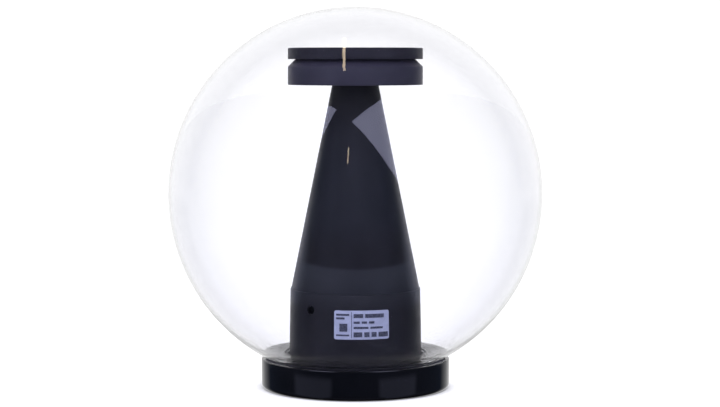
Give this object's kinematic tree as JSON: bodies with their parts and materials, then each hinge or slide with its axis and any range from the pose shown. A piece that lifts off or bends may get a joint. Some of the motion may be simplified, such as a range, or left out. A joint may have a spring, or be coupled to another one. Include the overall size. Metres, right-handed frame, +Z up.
{
  "type": "clear globe garden luminaire",
  "caption": "Clear blown globe plugged into a round black base ring, over a conical black tower with a downward LED head of two discs.",
  "frame": {"origin": "centre of the base ring's underside, on the axis of the globe", "axes": "+Z up along the axis of the ring, the tower and the globe; -Y is the front, where the rating label is"},
  "size_m": [0.25, 0.25, 0.2551],
  "materials": {
    "ring_black": "moulded, polished black",
    "plate_black": "moulded, matt black",
    "epdm": "moulded EPDM",
    "silicone": "moulded silicone",
    "zinc_steel": "zinc plated",
    "nylon_white": "moulded nylon",
    "driver_white": "moulded polycarbonate",
    "wire_brown": "PVC insulation",
    "wire_red": "silicone insulation",
    "tower_black": "moulded, satin black",
    "head_black": "turned, satin black powder coat",
    "label_film": "printed film, no lettering",
    "black_steel": "black oxide",
    "brass": "turned brass",
    "board_white": "white solder mask on aluminium",
    "chip_yellow": "phosphor silicone",
    "opal": "opal polycarbonate",
    "clear_acrylic": "clear blown acrylic"
  },
  "bodies": {
    "lamp": {"base_ring": "ring_black", "foot_gasket": "epdm", "ring_screws": "zinc_steel", "mounting_plate": "plate_black", "cable_grommet": "epdm", "chassis": "zinc_steel", "chassis_screws": "zinc_steel", "terminal_block": "nylon_white", "terminal_screws": "zinc_steel", "led_driver": "driver_white", "driver_screws": "zinc_steel", "supply_wires": "wire_brown", "output_wires": "wire_red", "driver_housing": "tower_black", "housing_screws": "black_steel", "rating_label": "label_film", "tower_cone": "tower_black", "stem_tube": "brass", "stem_nuts": "brass", "stem_washers": "zinc_steel", "heat_sink": "head_black", "thermal_pad": "silicone", "led_board": "board_white", "board_screws": "zinc_steel", "led_chips": "chip_yellow", "diffuser": "opal", "diffuser_seal": "silicone", "head_gasket": "epdm", "head_cap": "head_black", "cap_screws": "zinc_steel"},
    "seal": {"neck_gasket": "epdm"},
    "globe": {"globe": "clear_acrylic"}
  },
  "joints": [
    {"name": "globe_lift", "type": "slide", "parent": "lamp", "child": "seal", "axis": [0, 0, 1], "range_m": [0, 0.24]},
    {"name": "globe_turn", "type": "hinge", "parent": "seal", "child": "globe", "pos_m": [0, 0, 0.13], "axis": [0, 0, 1], "continuous": true}
  ]
}
